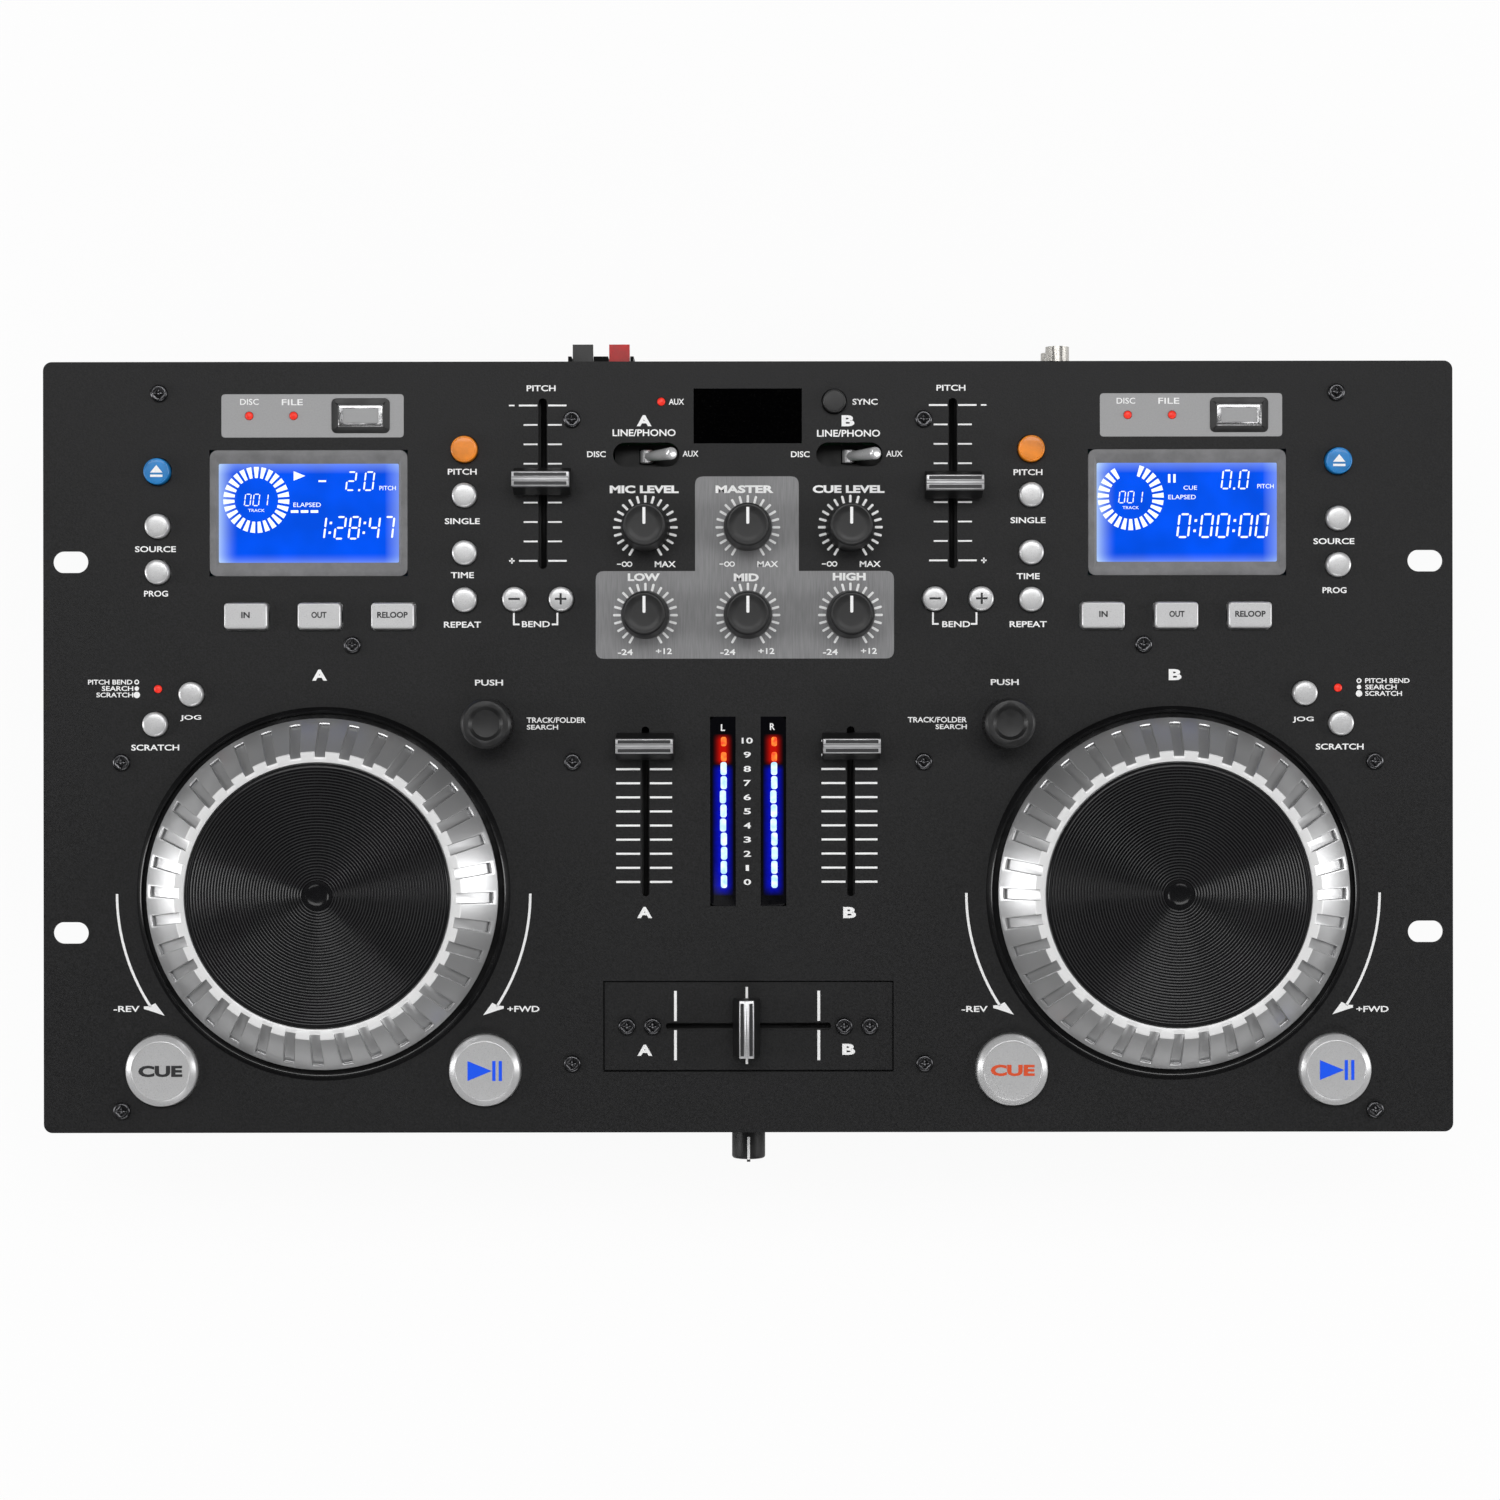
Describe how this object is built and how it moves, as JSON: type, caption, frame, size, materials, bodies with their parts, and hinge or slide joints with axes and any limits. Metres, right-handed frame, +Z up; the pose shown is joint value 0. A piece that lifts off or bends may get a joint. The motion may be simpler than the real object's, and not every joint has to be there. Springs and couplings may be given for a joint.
{
  "type": "twin disc deck and mixer console",
  "caption": "Rack console with two disc decks, jog wheels, pitch faders, blue displays, a two channel mixer with a crossfader, and front disc trays.",
  "frame": {"origin": "under the middle of the top panel, on the plane that the feet stand on", "axes": "+X to the user's right along the panel's long side, +Y to the rear, +Z up"},
  "size_m": [0.4826, 0.2849, 0.103],
  "materials": {
    "panel_black": "fine textured powder coat",
    "case_black": "fine textured powder coat",
    "rubber": "matte",
    "screw_black": "black oxide",
    "trim_black": "gloss",
    "display_blue": "gloss",
    "socket_metal": "satin",
    "board_green": "satin",
    "drive_steel": "satin",
    "lever_red": "gloss",
    "lever_chrome": "polished",
    "button_silver": "satin metallic paint",
    "button_blue": "gloss",
    "button_orange": "gloss",
    "knob_black": "satin",
    "fader_silver": "satin metallic paint",
    "jog_silver": "satin metallic paint",
    "tray_black": "satin"
  },
  "bodies": {
    "console": {"top_panel": "panel_black", "case_tub": "case_black", "rubber_feet": "rubber", "fasteners": "screw_black", "panel_trim": "trim_black", "display_windows": "display_blue", "sockets": "socket_metal", "circuit_boards": "board_green", "disc_drives": "drive_steel"},
    "jog_wheel_a": {"jog_wheel_a": "jog_silver"},
    "jog_wheel_b": {"jog_wheel_b": "jog_silver"},
    "disc_tray_a": {"disc_tray_a": "tray_black"},
    "disc_tray_b": {"disc_tray_b": "tray_black"},
    "channel_fader_a": {"channel_fader_a": "fader_silver"},
    "channel_fader_b": {"channel_fader_b": "fader_silver"},
    "pitch_fader_a": {"pitch_fader_a": "fader_silver"},
    "pitch_fader_b": {"pitch_fader_b": "fader_silver"},
    "crossfader": {"crossfader": "fader_silver"},
    "toggle_a": {"toggle_a": "lever_chrome"},
    "toggle_b": {"toggle_b": "lever_chrome"},
    "track_knob_a": {"track_knob_a": "knob_black"},
    "track_knob_b": {"track_knob_b": "knob_black"},
    "knob_mic": {"knob_mic": "knob_black"},
    "knob_master": {"knob_master": "knob_black"},
    "knob_cue_level": {"knob_cue_level": "knob_black"},
    "knob_low": {"knob_low": "knob_black"},
    "knob_mid": {"knob_mid": "knob_black"},
    "knob_high": {"knob_high": "knob_black"},
    "knob_phones": {"knob_phones": "knob_black"},
    "power_rocker": {"power_rocker": "trim_black"},
    "terminal_levers": {"terminal_levers": "lever_red"},
    "button_cue_a": {"button_cue_a": "button_silver"},
    "button_cue_b": {"button_cue_b": "button_silver"},
    "button_play_a": {"button_play_a": "button_silver"},
    "button_play_b": {"button_play_b": "button_silver"},
    "loop_keys_a": {"loop_keys_a": "button_silver"},
    "loop_keys_b": {"loop_keys_b": "button_silver"},
    "button_eject_a": {"button_eject_a": "button_blue"},
    "button_eject_b": {"button_eject_b": "button_blue"},
    "button_source_a": {"button_source_a": "button_silver"},
    "button_program_a": {"button_program_a": "button_silver"},
    "button_single_a": {"button_single_a": "button_silver"},
    "button_time_a": {"button_time_a": "button_silver"},
    "button_repeat_a": {"button_repeat_a": "button_silver"},
    "button_jog_mode_a": {"button_jog_mode_a": "button_silver"},
    "button_scratch_a": {"button_scratch_a": "button_silver"},
    "button_bend_minus_a": {"button_bend_minus_a": "button_silver"},
    "button_bend_plus_a": {"button_bend_plus_a": "button_silver"},
    "button_pitch_on_a": {"button_pitch_on_a": "button_orange"},
    "button_source_b": {"button_source_b": "button_silver"},
    "button_program_b": {"button_program_b": "button_silver"},
    "button_single_b": {"button_single_b": "button_silver"},
    "button_time_b": {"button_time_b": "button_silver"},
    "button_repeat_b": {"button_repeat_b": "button_silver"},
    "button_jog_mode_b": {"button_jog_mode_b": "button_silver"},
    "button_scratch_b": {"button_scratch_b": "button_silver"},
    "button_bend_minus_b": {"button_bend_minus_b": "button_silver"},
    "button_bend_plus_b": {"button_bend_plus_b": "button_silver"},
    "button_pitch_on_b": {"button_pitch_on_b": "button_orange"},
    "button_sync": {"button_sync": "knob_black"}
  },
  "joints": [
    {"name": "jog_wheel_a_spin", "type": "hinge", "parent": "console", "child": "jog_wheel_a", "pos_m": [-0.1454, -0.05015, 0.086], "axis": [0, 0, 1], "continuous": true},
    {"name": "jog_wheel_b_spin", "type": "hinge", "parent": "console", "child": "jog_wheel_b", "pos_m": [0.1454, -0.05015, 0.086], "axis": [0, 0, 1], "continuous": true},
    {"name": "disc_tray_a_slide", "type": "slide", "parent": "console", "child": "disc_tray_a", "axis": [0, -1, 0], "range_m": [0, 0.13]},
    {"name": "disc_tray_b_slide", "type": "slide", "parent": "console", "child": "disc_tray_b", "axis": [0, -1, 0], "range_m": [0, 0.13]},
    {"name": "channel_fader_a_slide", "type": "slide", "parent": "console", "child": "channel_fader_a", "axis": [0, 1, 0], "range_m": [-0.0492, 0.0046]},
    {"name": "channel_fader_b_slide", "type": "slide", "parent": "console", "child": "channel_fader_b", "axis": [0, 1, 0], "range_m": [-0.0492, 0.0046]},
    {"name": "pitch_fader_a_slide", "type": "slide", "parent": "console", "child": "pitch_fader_a", "axis": [0, 1, 0], "range_m": [-0.0275, 0.0265]},
    {"name": "pitch_fader_b_slide", "type": "slide", "parent": "console", "child": "pitch_fader_b", "axis": [0, 1, 0], "range_m": [-0.0262, 0.0278]},
    {"name": "crossfader_slide", "type": "slide", "parent": "console", "child": "crossfader", "axis": [1, 0, 0], "range_m": [-0.0255, 0.0267]},
    {"name": "toggle_a_flip", "type": "hinge", "parent": "console", "child": "toggle_a", "pos_m": [-0.0348, 0.1001, 0.077], "axis": [0, -1, 0], "range_deg": [0, 66]},
    {"name": "toggle_b_flip", "type": "hinge", "parent": "console", "child": "toggle_b", "pos_m": [0.0348, 0.1001, 0.077], "axis": [0, -1, 0], "range_deg": [0, 66]},
    {"name": "track_knob_a_turn", "type": "hinge", "parent": "console", "child": "track_knob_a", "pos_m": [-0.0886, 0.0079, 0.086], "axis": [0, 0, 1], "continuous": true},
    {"name": "track_knob_b_turn", "type": "hinge", "parent": "console", "child": "track_knob_b", "pos_m": [0.0886, 0.0079, 0.086], "axis": [0, 0, 1], "continuous": true},
    {"name": "knob_mic_turn", "type": "hinge", "parent": "console", "child": "knob_mic", "pos_m": [-0.0351, 0.07515, 0.086], "axis": [0, 0, -1], "range_deg": [-150, 150]},
    {"name": "knob_master_turn", "type": "hinge", "parent": "console", "child": "knob_master", "pos_m": [0, 0.07515, 0.086], "axis": [0, 0, -1], "range_deg": [-150, 150]},
    {"name": "knob_cue_level_turn", "type": "hinge", "parent": "console", "child": "knob_cue_level", "pos_m": [0.0351, 0.07515, 0.086], "axis": [0, 0, -1], "range_deg": [-150, 150]},
    {"name": "knob_low_turn", "type": "hinge", "parent": "console", "child": "knob_low", "pos_m": [-0.0351, 0.0451, 0.086], "axis": [0, 0, -1], "range_deg": [-150, 150]},
    {"name": "knob_mid_turn", "type": "hinge", "parent": "console", "child": "knob_mid", "pos_m": [0, 0.0451, 0.086], "axis": [0, 0, -1], "range_deg": [-150, 150]},
    {"name": "knob_high_turn", "type": "hinge", "parent": "console", "child": "knob_high", "pos_m": [0.0351, 0.0451, 0.086], "axis": [0, 0, -1], "range_deg": [-150, 150]},
    {"name": "knob_phones_turn", "type": "hinge", "parent": "console", "child": "knob_phones", "pos_m": [0, -0.1305, 0.06], "axis": [0, 1, 0], "range_deg": [-150, 150]},
    {"name": "power_rocker_tip", "type": "hinge", "parent": "console", "child": "power_rocker", "pos_m": [0.136, 0.1289, 0.06], "axis": [-1, 0, 0], "range_deg": [0, 18]},
    {"name": "terminal_levers_press", "type": "hinge", "parent": "console", "child": "terminal_levers", "pos_m": [-0.051, 0.1332, 0.057], "axis": [-1, 0, 0], "range_deg": [0, 18], "stiffness_Nm_per_rad": 0.05, "springref_deg": -5.73},
    {"name": "cue_a_press", "type": "slide", "parent": "console", "child": "button_cue_a", "axis": [0, 0, -1], "range_m": [0, 0.0012], "stiffness_N_per_m": 500, "springref_m": -0.0005},
    {"name": "cue_b_press", "type": "slide", "parent": "console", "child": "button_cue_b", "axis": [0, 0, -1], "range_m": [0, 0.0012], "stiffness_N_per_m": 500, "springref_m": -0.0005},
    {"name": "play_a_press", "type": "slide", "parent": "console", "child": "button_play_a", "axis": [0, 0, -1], "range_m": [0, 0.0012], "stiffness_N_per_m": 500, "springref_m": -0.0005},
    {"name": "play_b_press", "type": "slide", "parent": "console", "child": "button_play_b", "axis": [0, 0, -1], "range_m": [0, 0.0012], "stiffness_N_per_m": 500, "springref_m": -0.0005},
    {"name": "loop_keys_a_press", "type": "slide", "parent": "console", "child": "loop_keys_a", "axis": [0, 0, -1], "range_m": [0, 0.0008], "stiffness_N_per_m": 400, "springref_m": -0.0005},
    {"name": "loop_keys_b_press", "type": "slide", "parent": "console", "child": "loop_keys_b", "axis": [0, 0, -1], "range_m": [0, 0.0008], "stiffness_N_per_m": 400, "springref_m": -0.0005},
    {"name": "eject_a_press", "type": "slide", "parent": "console", "child": "button_eject_a", "axis": [0, 0, -1], "range_m": [0, 0.0008], "stiffness_N_per_m": 300, "springref_m": -0.0005},
    {"name": "eject_b_press", "type": "slide", "parent": "console", "child": "button_eject_b", "axis": [0, 0, -1], "range_m": [0, 0.0008], "stiffness_N_per_m": 300, "springref_m": -0.0005},
    {"name": "source_a_press", "type": "slide", "parent": "console", "child": "button_source_a", "axis": [0, 0, -1], "range_m": [0, 0.0008], "stiffness_N_per_m": 300, "springref_m": -0.0005},
    {"name": "program_a_press", "type": "slide", "parent": "console", "child": "button_program_a", "axis": [0, 0, -1], "range_m": [0, 0.0008], "stiffness_N_per_m": 300, "springref_m": -0.0005},
    {"name": "single_a_press", "type": "slide", "parent": "console", "child": "button_single_a", "axis": [0, 0, -1], "range_m": [0, 0.0008], "stiffness_N_per_m": 300, "springref_m": -0.0005},
    {"name": "time_a_press", "type": "slide", "parent": "console", "child": "button_time_a", "axis": [0, 0, -1], "range_m": [0, 0.0008], "stiffness_N_per_m": 300, "springref_m": -0.0005},
    {"name": "repeat_a_press", "type": "slide", "parent": "console", "child": "button_repeat_a", "axis": [0, 0, -1], "range_m": [0, 0.0008], "stiffness_N_per_m": 300, "springref_m": -0.0005},
    {"name": "jog_mode_a_press", "type": "slide", "parent": "console", "child": "button_jog_mode_a", "axis": [0, 0, -1], "range_m": [0, 0.0008], "stiffness_N_per_m": 300, "springref_m": -0.0005},
    {"name": "scratch_a_press", "type": "slide", "parent": "console", "child": "button_scratch_a", "axis": [0, 0, -1], "range_m": [0, 0.0008], "stiffness_N_per_m": 300, "springref_m": -0.0005},
    {"name": "bend_minus_a_press", "type": "slide", "parent": "console", "child": "button_bend_minus_a", "axis": [0, 0, -1], "range_m": [0, 0.0008], "stiffness_N_per_m": 300, "springref_m": -0.0005},
    {"name": "bend_plus_a_press", "type": "slide", "parent": "console", "child": "button_bend_plus_a", "axis": [0, 0, -1], "range_m": [0, 0.0008], "stiffness_N_per_m": 300, "springref_m": -0.0005},
    {"name": "pitch_on_a_press", "type": "slide", "parent": "console", "child": "button_pitch_on_a", "axis": [0, 0, -1], "range_m": [0, 0.0008], "stiffness_N_per_m": 300, "springref_m": -0.0005},
    {"name": "source_b_press", "type": "slide", "parent": "console", "child": "button_source_b", "axis": [0, 0, -1], "range_m": [0, 0.0008], "stiffness_N_per_m": 300, "springref_m": -0.0005},
    {"name": "program_b_press", "type": "slide", "parent": "console", "child": "button_program_b", "axis": [0, 0, -1], "range_m": [0, 0.0008], "stiffness_N_per_m": 300, "springref_m": -0.0005},
    {"name": "single_b_press", "type": "slide", "parent": "console", "child": "button_single_b", "axis": [0, 0, -1], "range_m": [0, 0.0008], "stiffness_N_per_m": 300, "springref_m": -0.0005},
    {"name": "time_b_press", "type": "slide", "parent": "console", "child": "button_time_b", "axis": [0, 0, -1], "range_m": [0, 0.0008], "stiffness_N_per_m": 300, "springref_m": -0.0005},
    {"name": "repeat_b_press", "type": "slide", "parent": "console", "child": "button_repeat_b", "axis": [0, 0, -1], "range_m": [0, 0.0008], "stiffness_N_per_m": 300, "springref_m": -0.0005},
    {"name": "jog_mode_b_press", "type": "slide", "parent": "console", "child": "button_jog_mode_b", "axis": [0, 0, -1], "range_m": [0, 0.0008], "stiffness_N_per_m": 300, "springref_m": -0.0005},
    {"name": "scratch_b_press", "type": "slide", "parent": "console", "child": "button_scratch_b", "axis": [0, 0, -1], "range_m": [0, 0.0008], "stiffness_N_per_m": 300, "springref_m": -0.0005},
    {"name": "bend_minus_b_press", "type": "slide", "parent": "console", "child": "button_bend_minus_b", "axis": [0, 0, -1], "range_m": [0, 0.0008], "stiffness_N_per_m": 300, "springref_m": -0.0005},
    {"name": "bend_plus_b_press", "type": "slide", "parent": "console", "child": "button_bend_plus_b", "axis": [0, 0, -1], "range_m": [0, 0.0008], "stiffness_N_per_m": 300, "springref_m": -0.0005},
    {"name": "pitch_on_b_press", "type": "slide", "parent": "console", "child": "button_pitch_on_b", "axis": [0, 0, -1], "range_m": [0, 0.0008], "stiffness_N_per_m": 300, "springref_m": -0.0005},
    {"name": "sync_press", "type": "slide", "parent": "console", "child": "button_sync", "axis": [0, 0, -1], "range_m": [0, 0.0008], "stiffness_N_per_m": 300, "springref_m": -0.0005}
  ]
}
